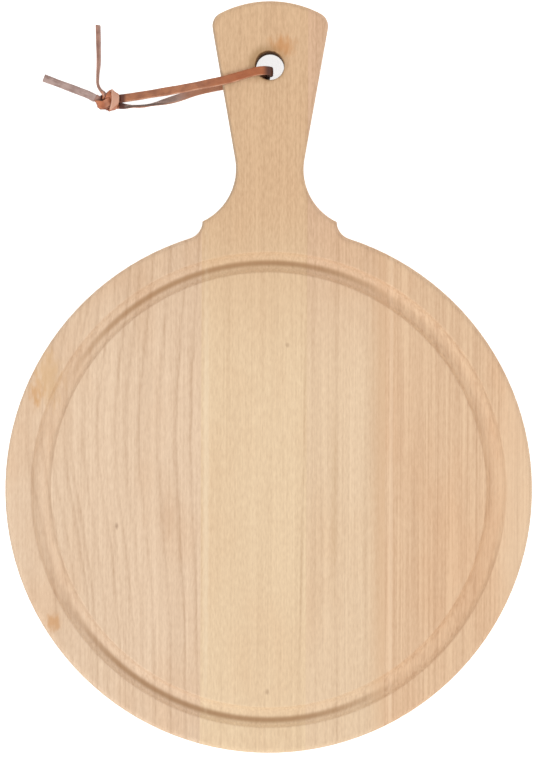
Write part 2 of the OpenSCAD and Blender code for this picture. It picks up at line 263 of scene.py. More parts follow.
@dataclass(frozen=True)
class BeechFinish:
    """One stave of European beech, planed, sanded and lightly oiled.

    Beech is pale and even, with growth rings as thin darker lines where the board's face cuts
    them, and short ray flecks and long pores, all running up the board. Flecks and pores are
    drawn 1 mm wide, because the real ones are half as wide, too fine to show from the camera.
    The tones are those of the early wood, the late wood, warmer patches, end grain, a painted shade
    towards the handle's end, the groove's burn with painted shade, and a painted grey shade on the
    sides that face left. A ring is its place in mm and its darkness, and the groove its middle and
    its radius. A field that ends in _from holds where an easing starts and ends, and a Span also its
    results there.
    """

    name: str
    pale: str
    late: str
    warm: str
    end: str
    head_shade: str
    head_shade_share: float = 0.0
    head_shade_from: Pair = (-15.0, 120.0)
    head_grain: float = 1.8
    head_grain_from: Pair = (40.0, 110.0)
    rings: tuple[Pair, ...] = ()
    ring_rise: float = 2.4
    ring_line: Pair = (-0.35, 0.1)
    ring_fall: float = 0.7
    ring_reach: float = 152.0
    ring_gaps: Lumps = Lumps((14.0, 70.0, 14.0), 2, 7.0)
    ring_gap_levels: Span = (0.3, 0.65, 0.45, 1.0)
    bow: Pair = (0.0, 0.0)
    bow_at: float = -30.0
    bow_tall: float = 75.0
    lean: float = 0.0
    lean_from: float = 49.5
    wander: float = 1.5
    sways: Lumps = Lumps((60.0, 190.0, 60.0), 2)
    ripple: float = 0.8
    ripples: Lumps = Lumps((9.0, 24.0, 9.0), 2, 3.0)
    base: float = 0.17
    fleck: float = 0.5
    flecks: Lumps = Lumps((0.95, 3.8, 0.95), 2, 17.0)
    streak: float = 0.4
    pores: Lumps = Lumps((1.05, 130.0, 1.05), 1, 11.0)
    band: float = 0.2
    band_wide: float = 5.0
    band_tall: float = 210.0
    band_shift: float = 29.0
    warmth: float = 0.3
    patches: Lumps = Lumps((38.0, 85.0, 38.0), 3, 23.0)
    patch_from: Pair = (0.42, 0.72)
    end_share: float = 0.35
    end_from: Pair = (0.85, 1.0)
    left_shade: str = "6f6557"
    left_shade_share: float = 0.2
    left_shade_from: Pair = (-0.95, -0.3)
    groove: Triple = (0.0, -64.06, 130.1)
    burn_and_shade: str = "a87d52"
    burn_and_shade_levels: Span = (0.3, 2.7, 1.0, 0.0)
    burn_and_shade_share: float = 0.8
    burn_and_shade_from: Pair = (0.62, 1.0)
    burn_and_shade_aside: float = -0.25
    seed: float = 0.0
    marks: tuple[Mark, ...] = ()
    frays: Lumps = Lumps((2.2, 6.5, 2.2), 3, 31.0)
    fray_reach: float = 1.5
    face_roughness: Span = (0.3, 0.7, 0.52, 0.62)
    char_roughness: Span = (0.12, 0.35, 1.0, 0.5)
    bump_depth: float = 0.04
    ior: float = 1.5

    def dress(self) -> bpy.types.Material:
        """Make the stave's material.

        Returns:
            The material.
        """
        wood = Shades(self.name)
        x, y, _ = tuple(wood.add("SeparateXYZ", {0: wood.mm}).outputs)
        grain = wood.noise(self.flecks, self.seed)
        colour = self._figure(wood, x, y, grain)
        # The groove's floor darkens: a faint real burn where it crosses the fibres, with painted
        # shade.
        colour = wood.blend(self._burn_and_shade(wood, x, y), colour, linear(self.burn_and_shade))
        colour = self._edges(wood, colour)
        frays = wood.math("SUBTRACT", wood.noise(self.frays, self.seed), 0.5)
        frays = wood.math("MULTIPLY", frays, self.fray_reach)
        for mark in self.marks:
            colour = mark.lay(wood, colour, frays)
        # The oiled face has a slight sheen, the charred wall of the hanging hole is matt.
        bright = wood.add("RGBToBW", {0: colour}).outputs[0]
        roughness = wood.math("MAXIMUM", wood.ease(grain, *self.face_roughness),
                              wood.ease(bright, *self.char_roughness))
        return wood.finish(colour, roughness, grain, self.bump_depth, self.ior)

    def _figure(self, wood: Shades, x: bpy.types.NodeSocket, y: bpy.types.NodeSocket,
                grain: bpy.types.NodeSocket) -> bpy.types.NodeSocket:
        """Give the face's colour from its rings, flecks, pores, bands, warmer patches and a painted
        shade towards the handle's end.

        shade = base + rings gaps + the sum of (noise - 0.5) coarser share, and the colour goes
        from the early wood's to the late wood's with it. Flecks, pores and bands stand out more
        towards the end of the handle.

        Args:
            wood: the material being made.
            x: the place across the board in mm.
            y: the place up the board in mm.
            grain: the noise of the ray flecks.

        Returns:
            The face's colour.
        """
        rings = self._rings(wood, self._across(wood, x, y))
        gaps = wood.ease(wood.noise(self.ring_gaps, self.seed), *self.ring_gap_levels)
        shade = wood.math("ADD", wood.math("MULTIPLY", rings, gaps), self.base)
        pores = wood.noise(self.pores, self.seed)
        size = (self.band_wide, self.band_tall, self.band_wide)
        bands = wood.noise(Lumps(size, 2, self.band_shift), self.seed)
        coarser = wood.ease(y, *self.head_grain_from, 1.0, self.head_grain)
        for noise, share in ((grain, self.fleck), (pores, self.streak), (bands, self.band)):
            swing = wood.math("MULTIPLY", wood.math("SUBTRACT", noise, 0.5), coarser)
            shade = wood.math("MULTIPLY_ADD", swing, share, shade)
        # Painted shade: the wood turns darker and pinker towards the handle's end, where the light
        # falls off.
        head_shade = wood.ease(y, *self.head_shade_from, 0.0, self.head_shade_share)
        colour = wood.blend(head_shade, linear(self.pale), linear(self.head_shade))
        patches = wood.noise(self.patches, self.seed)
        patch = wood.ease(patches, *self.patch_from, 0.0, self.warmth)
        colour = wood.blend(patch, colour, linear(self.warm))
        return wood.blend(shade, colour, linear(self.late))

    def _edges(self, wood: Shades, colour: bpy.types.NodeSocket) -> bpy.types.NodeSocket:
        """Darken the end grain and paint shade on the sides that face left.

        Where the surface turns up or down the board it cuts the fibres, and end grain drinks
        more oil; surfaces that face left, the board's rounded left edges and the hanging hole's
        right wall, get a painted grey shade.

        Args:
            wood: the material being made.
            colour: the face's colour.

        Returns:
            The colour with the edges.
        """
        side, up, _ = tuple(wood.add("SeparateXYZ", {0: wood.place.outputs["Normal"]}).outputs)
        cut = wood.ease(wood.math("ABSOLUTE", up), *self.end_from, 0.0, self.end_share)
        colour = wood.blend(cut, colour, linear(self.end))
        # Painted shade: surfaces that face left, the rounded left edges and the hole's right wall,
        # turn greyer.
        left = wood.ease(side, *self.left_shade_from, self.left_shade_share, 0.0)
        return wood.blend(left, colour, linear(self.left_shade))

    def _across(self, wood: Shades, x: bpy.types.NodeSocket,
                y: bpy.types.NodeSocket) -> bpy.types.NodeSocket:
        """Give the place across the stave that the growth rings go by.

        bend = 1 - exp(-((y - bow_at) / bow_tall)^2), and across = (x + bow_0 bend) /
        (1 - bow_1 bend) - lean (min(y, lean_from) - lean_from) + a slow sway + a ripple, so the
        rings bow sideways in the middle of the board, the more so the further out they are.

        Args:
            wood: the material being made.
            x: the place across the board in mm.
            y: the place up the board in mm.

        Returns:
            The place in mm.
        """
        out = wood.math("DIVIDE", wood.math("SUBTRACT", y, self.bow_at), self.bow_tall)
        bend = wood.math("SUBTRACT", 1.0, wood.math("EXPONENT", wood.math(
            "MULTIPLY", wood.math("MULTIPLY", out, out), -1.0)))
        bowed = wood.math("DIVIDE", wood.math("MULTIPLY_ADD", bend, self.bow[0], x),
                          wood.math("MULTIPLY_ADD", bend, -self.bow[1], 1.0))
        low = wood.math("SUBTRACT", wood.math("MINIMUM", y, self.lean_from), self.lean_from)
        across = wood.math("MULTIPLY_ADD", low, -self.lean, bowed)
        for lumps, reach in ((self.sways, self.wander), (self.ripples, self.ripple)):
            sway = wood.math("SUBTRACT", wood.noise(lumps, self.seed), 0.5)
            across = wood.math("MULTIPLY_ADD", sway, 2 * reach, across)
        return across

    def _burn_and_shade(self, wood: Shades, x: bpy.types.NodeSocket,
              y: bpy.types.NodeSocket) -> bpy.types.NodeSocket:
        """Give the darkening along the floor of the juice groove: the cutter's faint burn where the
        groove crosses the fibres, with painted shade.

        With r the distance from the disc's middle, it is strongest where r is the groove's radius
        less dy / r, and fades out on both sides of that by burn_and_shade_levels, so that it lies
        nearer the middle at the top and further out at the bottom, as painted shade cast by a light
        from the bottom. It is strongest where the groove runs across the fibres, and fades out where
        |dy| / r + burn_and_shade_aside dx / r falls by burn_and_shade_from, so that it is stronger on
        the left, as painted shade.

        Args:
            wood: the material being made.
            x: the place across the board in mm.
            y: the place up the board in mm.

        Returns:
            The burn's strength.
        """
        middle_x, middle_y, radius = self.groove
        out = wood.add("CombineXYZ", {0: wood.math("SUBTRACT", x, middle_x),
                                      1: wood.math("SUBTRACT", y, middle_y)}).outputs[0]
        far = wood.add("VectorMath", {0: out}, operation="LENGTH").outputs["Value"]
        unit = wood.add("VectorMath", {0: out}, operation="NORMALIZE").outputs[0]
        right, up, _ = tuple(wood.add("SeparateXYZ", {0: unit}).outputs)
        crossing = wood.math("MULTIPLY_ADD", right, self.burn_and_shade_aside, wood.math("ABSOLUTE", up))
        off = wood.math("ADD", up, wood.math("SUBTRACT", far, radius))
        near = wood.ease(wood.math("ABSOLUTE", off), *self.burn_and_shade_levels)
        share = wood.ease(crossing, *self.burn_and_shade_from, 0.0, self.burn_and_shade_share)
        return wood.math("MULTIPLY", near, share)

    def _rings(self, wood: Shades, across: bpy.types.NodeSocket) -> bpy.types.NodeSocket:
        """Give the growth rings' darkness.

        Each ring darkens over the ring_rise millimetres before its place, is full over ring_line
        and is gone ring_fall millimetres after it. A ramp's places are (across + ring_reach) /
        (2 ring_reach).

        Args:
            wood: the material being made.
            across: the place across the stave in mm.

        Returns:
            The darkness, from 0 to 1.
        """
        low, span = -self.ring_reach, 2 * self.ring_reach
        beside = 0.001
        full_from, full_to = self.ring_line
        stops = [(0.0, 0.0)]
        for place, dark in self.rings:
            for step, level in ((-self.ring_rise, 0.0), (full_from, dark), (full_to, dark),
                                (self.ring_fall, 0.0)):
                stops.append(((place + step - low) / span, level))
        first = wood.math("DIVIDE", wood.math("SUBTRACT", across, low), span)
        total: Any = 0.0
        for start in range(0, len(stops), RAMP_STOPS):
            part = stops[start:start + RAMP_STOPS]
            before, after = max(part[0][0] - beside, 0.0), min(part[-1][0] + beside, 1.0)
            part = [(before, 0.0)] + part + [(after, 0.0)]
            ramp = add_node(wood.tree, "ValToRGB", {0: first}, stops=part)
            total = wood.math("ADD", ramp.outputs[0], total)
        return total


@dataclass(frozen=True)
class LeatherFinish:
    """Vegetable-tanned cowhide cut into a narrow lace.

    The grain side is closed and slightly shiny with fine pores, the flesh side is paler, matt and
    fibrous, and the cut edges show the paler core. In the knot the leather gets a painted highlight
    where it stands high and painted shade low in its folds. Each of the shades has the x in mm where
    it starts, the x from which it is full, its strength and its tone: they paint shade where the
    lace bends into the hole and where it enters the knot, painted bounce light and shade on the
    grain side over the handle, and turn the back run to other tones near the handle. Pores and
    fibres are drawn half a millimetre across, because the real ones are a fifth of that, too fine to
    show. A field that ends in _from holds where an easing starts and ends.
    """

    name: str
    tone: str
    deep: str
    pale: str
    roughness: float
    pore: float
    fibre: float
    crest_highlight: str = ""
    crest_highlight_from: Pair = (6.3, 7.3)
    hollow_shade: float = 0.0
    hollow_shade_tone: str = "4a1608"
    hollow_shade_from: Pair = (2.2, 5.4)
    shades: tuple[Shade, ...] = ()
    blotches: Lumps = Lumps((4.5, 4.5, 4.5), 3, 2.0)
    blotch_from: Pair = (0.35, 0.7)
    fibre_size: Pair = (7.0, 0.45)
    fibre_from: Pair = (0.45, 0.75)
    pore_shift: float = 5.0
    pore_share: float = 0.45
    pore_from: Pair = (0.55, 0.75)
    bump_depth: float = 0.12
    ior: float = 1.5

    def dress(self) -> bpy.types.Material:
        """Make the leather's material.

        Returns:
            The material.
        """
        hide = Shades(self.name)
        along, _, height = tuple(hide.add("SeparateXYZ", {0: hide.mm}).outputs)
        blotch = hide.ease(hide.noise(self.blotches), *self.blotch_from)
        pores = hide.noise(Lumps((self.pore, self.pore, self.pore), 3, self.pore_shift))
        fibre_long, fibre_wide = self.fibre_size
        strip = hide.add("VectorMath", {0: hide.place.outputs["UV"],
                                        1: (1 / fibre_long, 1 / fibre_wide, 1.0)},
                         operation="MULTIPLY").outputs[0]
        fibres = hide.add("TexNoise", {"Vector": strip, "Scale": 1.0, "Detail": 3.0}).outputs[0]
        colour = hide.blend(blotch, linear(self.tone), linear(self.deep))
        pale = hide.ease(fibres, *self.fibre_from, 0.0, self.fibre)
        colour = hide.blend(pale, colour, linear(self.pale))
        deep = hide.ease(pores, *self.pore_from, 0.0, self.pore_share)
        colour = hide.blend(deep, colour, linear(self.deep))
        # Painted highlight on the strip's high parts and painted shade low in the folds.
        if self.crest_highlight:
            crest_highlight = hide.ease(height, *self.crest_highlight_from)
            colour = hide.blend(crest_highlight, colour, linear(self.crest_highlight))
        if self.hollow_shade:
            hollow_shade = hide.ease(height, *self.hollow_shade_from, self.hollow_shade, 0.0)
            colour = hide.blend(hollow_shade, colour, linear(self.hollow_shade_tone))
        for start, full, strength, tone in self.shades:
            share = hide.ease(along, start, full, 0.0, strength)
            colour = hide.blend(share, colour, linear(tone))
        return hide.finish(colour, self.roughness, pores, self.bump_depth, self.ior)


# Painted shade: the lace is darkened where it bends down into the hole and where it enters the knot.
HOLE_BEND_SHADE: Shade = (-5.0, -0.8, 0.88, "3a150b")
KNOT_THROAT_SHADE: Shade = (-81.8, -84.2, 0.9, "501a04")
EDGE_THROAT_SHADE: Shade = (-81.8, -84.2, 0.85, "501a04")


class Leather(Enum):
    """The surfaces that the lace shows."""

    # The grain side turns deeper orange from x = -45 mm to x = -14 mm and on to the hole, as painted
    # bounce light and shade from the wood under it.
    GRAIN = LeatherFinish("tanned_leather_grain", "b3714c", "955a3c", "c48b67", 0.42, 0.55, 0.35,
                          shades=((-45.0, -14.0, 0.6, "ae5824"), HOLE_BEND_SHADE, KNOT_THROAT_SHADE))
    FLESH = LeatherFinish("tanned_leather_flesh", "b79c94", "957870", "cfb8ae", 0.8, 0.4, 0.6)
    CUT = LeatherFinish("tanned_leather_cut_edge", "cf9a7c", "a8694a", "e0b294", 0.7, 0.4, 0.5,
                        shades=(HOLE_BEND_SHADE, KNOT_THROAT_SHADE))
    BACK = LeatherFinish("tanned_leather_turned_flesh", "b0958b", "94786c", "c8aea4", 0.7, 0.4, 0.5,
                         shades=((-57.0, -42.0, 0.75, "b4714a"), HOLE_BEND_SHADE, KNOT_THROAT_SHADE))
    # The back run's cut edge, which stands up where the strand turns on its edge, is painted dark as
    # shade, and turns to the pale cut colour near the handle.
    BACK_CUT = LeatherFinish("tanned_leather_edge_in_painted_shade", "6e5a50", "56453d", "84706a", 0.7, 0.4,
                             0.5, shades=((-64.0, -52.0, 0.8, "cf9a7c"), HOLE_BEND_SHADE, EDGE_THROAT_SHADE))
    WORN = LeatherFinish("tanned_leather_worn_grain", "b27f68", "8e5d4a", "c69a85", 0.5, 0.5, 0.4)
    WORN_CUT = LeatherFinish("tanned_leather_worn_edge", "ad8373", "8b6152", "c49d8d", 0.7, 0.4,
                             0.5)
    # The knot's leathers get a painted highlight where they stand high and painted shade low in the
    # folds.
    KNOT = LeatherFinish("tanned_leather_knot_grain", "bf714a", "95502f", "d0916c", 0.45, 0.55,
                         0.35, crest_highlight="d8a389", hollow_shade=0.75)
    KNOT_FLESH = LeatherFinish("tanned_leather_knot_flesh", "b2897a", "8d6254", "cba596", 0.8, 0.4,
                               0.5, hollow_shade=0.75)
    KNOT_CUT = LeatherFinish("tanned_leather_knot_edge", "c08060", "95543a", "d8a183", 0.7, 0.4,
                             0.5, crest_highlight="dcae96", hollow_shade=0.75)


class Side(IntEnum):
    """The sides of a strip, in the order of its leathers."""

    UPPER = 0
    LOWER = 1
    EDGE = 2


@dataclass(frozen=True)
class Strand:
    """One run of the flat lace: its width and thickness, and the way it lies along its route.

    Each route point is x, y, z in millimetres and the roll in degrees about the way ahead. The
    leathers are those of its upper face, its lower face and its two cut edges. Each of the
    unevens is the reach, the length and the start of a slow change of width along the lace,
    because it is cut by hand.
    """

    name: str
    node: str
    route: tuple[Point, ...]
    across: Triple = (0.0, -1.0, 0.0)
    leathers: tuple[Leather, Leather, Leather] = (Leather.GRAIN, Leather.FLESH, Leather.CUT)
    wide: float = 4.4
    thick: float = 1.6
    ease: float = 0.45
    crown: float = 0.12
    unevens: tuple[Triple, ...] = ((0.12, 5.0, 0.0), (0.08, 2.3, 1.0))
    steps: int = 9
    corner_steps: int = 3
    face_steps: int = 5

    def centre(self) -> tuple[np.ndarray, np.ndarray, np.ndarray]:
        """Carry a smooth line through the route's points.

        Between two points at distances s0 and s1 along the route the line is the cubic with the
        slopes m0 and m1, which are the means of the slopes on either side of each point:
        p = h00 p0 + h10 d m0 + h01 p1 + h11 d m1, with d = s1 - s0.

        Returns:
            The line's points with their rolls, the way ahead at each, and its length to there.
        """
        knots = np.array(self.route, float)
        gaps = np.linalg.norm(np.diff(knots[:, :3], axis=0), axis=1)
        slopes = np.diff(knots, axis=0) / gaps[:, None]
        weight = (gaps[1:] / (gaps[1:] + gaps[:-1]))[:, None]
        means = weight * slopes[:-1] + (1 - weight) * slopes[1:]
        turns = np.vstack([slopes[:1], means, slopes[-1:]])
        t = np.linspace(0, 1, self.steps, endpoint=False)[None, :, None]
        p0, p1 = knots[:-1, None], knots[1:, None]
        m0, m1 = turns[:-1, None] * gaps[:, None, None], turns[1:, None] * gaps[:, None, None]
        line = ((2 * t**3 - 3 * t**2 + 1) * p0 + (t**3 - 2 * t**2 + t) * m0
                + (3 * t**2 - 2 * t**3) * p1 + (t**3 - t**2) * m1).reshape(-1, knots.shape[1])
        line = np.vstack([line, knots[-1:]])
        ahead = np.gradient(line[:, :3], axis=0)
        ahead /= np.linalg.norm(ahead, axis=1)[:, None]
        return line, ahead, self.lengths(line[:, :3])

    @staticmethod
    def lengths(points: np.ndarray) -> np.ndarray:
        """Give the length of a line of points up to each of them."""
        return np.concatenate([[0.0], np.cumsum(np.linalg.norm(np.diff(points, axis=0), axis=1))])

    def frame(self, line: np.ndarray, ahead: np.ndarray) -> tuple[np.ndarray, np.ndarray]:
        """Give the strip's width and upward directions.

        flat = across less its part along the way ahead, made a unit; width = cos(roll) flat
        + sin(roll) (ahead x flat); up = ahead x width.

        Args:
            line: the line's points with their rolls.
            ahead: the way ahead at each.

        Returns:
            The width's and the upward directions.
        """
        across = np.array(self.across)
        flat = across - (ahead @ across)[:, None] * ahead
        flat /= np.linalg.norm(flat, axis=1)[:, None]
        roll = np.radians(line[:, 3])[:, None]
        width = np.cos(roll) * flat + np.sin(roll) * np.cross(ahead, flat)
        return width, np.cross(ahead, width)

    def section(self) -> tuple[np.ndarray, np.ndarray]:
        """Work out the strip's section, a rectangle with eased corners and a slight crown.

        Walking the outline, each corner turns a quarter circle of the easing, and the upper face
        bows up by crown (1 - (2 a / width)^2).

        Returns:
            The section's points across and up, and the side that starts at each point.
        """
        half = np.array([self.wide / 2 - self.ease, self.thick / 2 - self.ease])
        quarter = np.radians(np.linspace(0, 90, self.corner_steps + 1))
        signs = np.array([[1, 1], [-1, 1], [-1, -1], [1, -1]])
        arcs = []
        for i, sign in enumerate(signs):
            turn = quarter + i * math.pi / 2
            arcs.append(half * sign + self.ease * np.stack([np.cos(turn), np.sin(turn)], 1))
        top = np.linspace(half[0], -half[0], self.face_steps + 2)[1:-1]
        upper = np.stack([top, np.full(self.face_steps, self.thick / 2)], 1)
        lower = np.stack([-top, np.full(self.face_steps, -self.thick / 2)], 1)
        outline = np.vstack([arcs[0], upper, arcs[1], arcs[2], lower, arcs[3]])
        # A face begins and ends a step inside its rounded corners, and the edges take the rest.
        edge, face = self.corner_steps - 1, self.face_steps + self.corner_steps + 1
        parts = [edge, face, edge + self.corner_steps, face]
        side = np.repeat([Side.EDGE, Side.UPPER, Side.EDGE, Side.LOWER, Side.EDGE],
                         parts + [len(outline) - sum(parts)])
        crown = self.crown * (1 - (2 * outline[:, 0] / self.wide) ** 2)
        return outline + np.stack([np.zeros(len(outline)), crown], 1), side

    def build(self) -> tuple[bpy.types.Object, list[Triple]]:
        """Carry the section along the line and close both ends.

        Each ring is line + cut a width + b up, where (a, b) is the section's point and cut = 1 +
        (the sum of reach sin(run / length + start) over the unevens) / wide.

        Returns:
            The strip's object and the centres of its rings in metres.
        """
        line, ahead, run = self.centre()
        width, up = self.frame(line, ahead)
        outline, side = self.section()
        waves = [reach * np.sin(run / long + start) for reach, long, start in self.unevens]
        cut = 1 + sum(waves) / self.wide
        rings = (line[:, None, :3] + (outline[:, 0] * cut[:, None])[:, :, None] * width[:, None]
                 + outline[None, :, 1, None] * up[:, None])
        rows, count = rings.shape[:2]
        i, j = np.meshgrid(np.arange(rows - 1), np.arange(count), indexing="ij")
        k = (j + 1) % count
        here, beyond = i * count, (i + 1) * count
        quads = np.stack([here + j, here + k, beyond + k, beyond + j], -1).reshape(-1, 4)[:, ::-1]
        caps = [list(range(count)), list(range(rows * count - 1, (rows - 1) * count - 1, -1))]
        mesh = bpy.data.meshes.new(self.name)
        mesh.from_pydata((rings.reshape(-1, 3) * MM).tolist(), [], quads.tolist() + caps)
        slots = np.concatenate([np.tile(side, rows - 1), [Side.EDGE] * len(caps)]).astype(np.int32)
        mesh.polygons.foreach_set("material_index", slots)
        mesh.polygons.foreach_set("use_smooth", np.ones(len(slots), bool))
        corners = np.empty(len(mesh.loops), np.int32)
        mesh.loops.foreach_get("vertex_index", corners)
        places = np.stack([run[corners // count], self.lengths(outline)[corners % count]], 1)
        mesh.uv_layers.new(name="lace_mm").data.foreach_set("uv", places.ravel())
        mesh.update()
        for leather in self.leathers:
            finish = leather.value
            mesh.materials.append(bpy.data.materials.get(finish.name) or finish.dress())
        strip = bpy.data.objects.new(self.name, mesh)
        bpy.context.scene.collection.objects.link(strip)
        return strip, [tuple(p) for p in line[:, :3] * MM]


class KnotStrand(Strand):
    """A strip in the knot, whose route gives the width's direction at each point."""

    def frame(self, line: np.ndarray, ahead: np.ndarray) -> tuple[np.ndarray, np.ndarray]:
        """Give the width's and the upward directions from the route's own.

        width = the route's direction less its part along the way ahead, made a unit.

        Args:
            line: the line's points with their width directions.
            ahead: the way ahead at each.

        Returns:
            The width's and the upward directions.
        """
        given = line[:, 3:]
        width = given - (given * ahead).sum(1)[:, None] * ahead
        width /= np.linalg.norm(width, axis=1)[:, None]
        return width, np.cross(ahead, width)


@dataclass
class Lace:
    """The leather lace: two runs from the hanging hole, the knot, and two loose tails.

    The runs and tails are routes, and both strips of the knot are folds: x, y, z from the knot's
    middle and the direction of the strip's width there. The front run and the upper tail are as
    wide as they show, a little wider than the lace's own width. The hole is in metres.
    """

    wide: float = 4.4
    front_wide: float = 4.9
    tail_wide: float = 4.8
    knot_thick: float = 1.4
    hole: Triple = (-0.0008, 0.1736, 0.011)

    front: tuple[Point, ...] = (
        (-0.8, 173.6, 11, 0), (0.3, 173.5, 13.8, 0), (0.9, 173.6, 17, 0), (0.2, 173.8, 19.6, 0),
        (-2, 174, 21, 3), (-6, 173.8, 21.3, 8), (-10, 173, 21.3, 11), (-16.5, 171.1, 21.2, 12),
        (-23.3, 169.1, 21.2, 13), (-30, 167.6, 20.8, 14), (-37, 166.4, 18.8, 15),
        (-46, 165, 14.2, 16), (-56, 163.6, 9.6, 17), (-66, 162.2, 6.6, 18), (-76, 160.7, 5, 19),
        (-86.2, 159.2, 4.4, 20))
    back: tuple[Point, ...] = (
        (-0.8, 173.6, 11, 0), (-0.8, 173.2, 8, 0), (-0.8, 172.7, 4.2, 0), (-1.6, 172.6, 1.9, 0),
        (-3.8, 172.2, 0.93, 0), (-7.5, 171.1, 0.845, 0), (-14, 169.7, 0.845, 0),
        (-20.5, 168.3, 0.845, 0), (-27, 167.1, 0.845, 0), (-37.3, 165, 0.88, 0),
        (-46, 162.4, 1.3, 5), (-51, 160.6, 1.7, 12), (-55.7, 159.1, 2.1, 26), (-60, 157.9, 2.4, 48),
        (-64.9, 156.7, 2.4, 72), (-73.5, 155.1, 2.7, 90), (-79, 155, 3, 82), (-83, 155, 3.3, 58),
        (-86.2, 155.4, 3.6, 35))
    left_tail: tuple[Point, ...] = (
        (-100.2, 159.4, 3.9, 0), (-103, 161, 3.4, 0), (-109.5, 163.7, 2.5, 0),
        (-116.9, 166.5, 1.7, 0), (-123.5, 169, 1.2, 0), (-129.9, 171.4, 0.9, 0))
    upper_tail: tuple[Point, ...] = (
        (-96, 163.2, 4.2, 60), (-97.6, 164.8, 3.4, 80), (-98.8, 167.8, 2.9, 90),
        (-98.9, 171.6, 2.7, 90), (-98.4, 178.7, 2.6, 80), (-98.5, 190.7, 2.6, 74),
        (-98.8, 201.6, 2.6, 72))
    knot_middle: Triple = (-93.4, 158.3, 0.1)
    knot_first: tuple[Fold, ...] = (
        (7.2, 0.9, 4.4, -0.1, 0.9, -0.3), (5.4, 0.7, 4.3, 0, 1, 0), (3, 0.3, 5, -0.2, 1, 0),
        (0.6, -1.2, 5.9, -0.5, 0.9, 0), (-2, -2.5, 5.6, -0.2, 1, 0),
        (-4.2, -2.4, 4.6, -0.1, 1, 0.1), (-5.7, -1.6, 3.2, -0.4, 0.8, 0.5),
        (-4.6, -0.4, 1.7, -0.9, 0.5, 0), (-2.4, 1.4, 1.2, -0.6, 0.8, 0),
        (0.4, 2.6, 1.8, -0.4, 0.9, 0.1), (2.6, 4, 3.4, -0.4, 0.8, 0.4),
        (4.2, 4.6, 5.4, -0.6, 0.5, 0.6), (4.9, 2.6, 7, -0.9, 0, 0.4),
        (4.9, -0.6, 7.3, -0.9, -0.1, 0.4), (4.1, -3.6, 6.4, -0.8, -0.3, 0.4),
        (3, -5.3, 4.2, -0.8, -0.3, 0.4), (2.2, -4.6, 2, -0.9, 0, 0.1),
        (1, -2.2, 1, -0.9, -0.3, 0), (-1.2, -0.4, 1, -0.6, -0.8, 0),
        (-3.4, 0.3, 2, -0.4, -0.9, 0), (-5.1, 0.6, 3.5, -0.5, -0.9, 0),
        (-6.8, 1.6, 3.9, -0.5, -0.9, -0.1))
    knot_second: tuple[Fold, ...] = (
        (7.2, -2.9, 3.5, -0.1, 0.8, -0.6), (5.2, -2.7, 3.4, 0, 0.9, -0.4),
        (2.6, -2.6, 2.9, 0, 1, -0.3), (0, -2.9, 3, 0, 1, 0), (-2.4, -3, 3.4, 0, 1, 0),
        (-4.4, -2.8, 2.8, -0.3, 0.8, 0.4), (-4.4, -1.6, 1.5, -0.9, 0.5, 0),
        (-2.6, 0.6, 1, -0.7, 0.7, 0), (0, 2.2, 1, -0.5, 0.9, 0), (1.6, 3.6, 1.9, -0.4, 0.8, 0.3),
        (2.6, 4.2, 4, -0.6, 0.5, 0.6), (1.9, 2.8, 5.6, -1, 0, 0), (1, 0.6, 4.9, -1, 0, -0.2),
        (0.9, -1.6, 4.3, -1, 0, 0), (1.2, -3.9, 3.6, -1, 0, 0), (1.6, -5, 2.5, -1, 0, 0),
        (1.4, -4, 1, -1, 0, 0), (0.4, -1.6, 0.9, -1, -0.3, 0), (-0.7, 1, 2.2, -0.8, -0.2, 0.6),
        (-1.4, 3.4, 4.6, -0.5, 0, 0.9), (-2.6, 4.9, 4.2, -0.4, 0.1, 0.9))

    def make(self) -> None:
        """Build the strips, put the leather on them and let each stand for its imported solid."""
        knot = self.tie()
        self._place(knot, "lace_knot")
        front = Strand("lace_front", "lace_front_run", self.front, wide=self.front_wide)
        back = Strand("lace_back", "lace_back_run", self.back,
                      leathers=(Leather.BACK, Leather.GRAIN, Leather.BACK_CUT))
        left = Strand("lace_tail_left", "lace_left_tail", self.left_tail,
                      leathers=(Leather.FLESH, Leather.GRAIN, Leather.FLESH))
        upper = Strand("lace_tail_upper", "lace_upper_tail", self.upper_tail, (-1.0, 0.0, 0.0),
                       (Leather.WORN, Leather.WORN, Leather.WORN_CUT), wide=self.tail_wide)
        for strand, leaves, end in ((front, self.hole, "knot"), (back, self.hole, "knot"),
                                    (left, None, "bare"), (upper, None, "bare")):
            strip, path = strand.build()
            self._place(strip, strand.node)

    def tie(self) -> bpy.types.Object:
        """Carry both strips through the doubled overhand knot and join them as one piece.

        Returns:
            The knot.
        """
        leathers = (Leather.KNOT_FLESH, Leather.KNOT, Leather.KNOT_CUT)
        halves = []
        for name, folds in (("lace_knot_piece", self.knot_first),
                            ("lace_knot_second", self.knot_second)):
            points = tuple(tuple(np.add(f[:3], self.knot_middle)) + tuple(f[3:]) for f in folds)
            strip, _ = KnotStrand(name, "lace_knot", points, leathers=leathers,
                                  thick=self.knot_thick).build()
            halves.append(strip)
        with bpy.context.temp_override(active_object=halves[0], selected_editable_objects=halves):
            bpy.ops.object.join()
        return halves[0]

    @staticmethod
    def _place(strip: bpy.types.Object, node: str) -> None:
        """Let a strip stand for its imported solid."""
        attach(strip, "root")
        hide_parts(node)


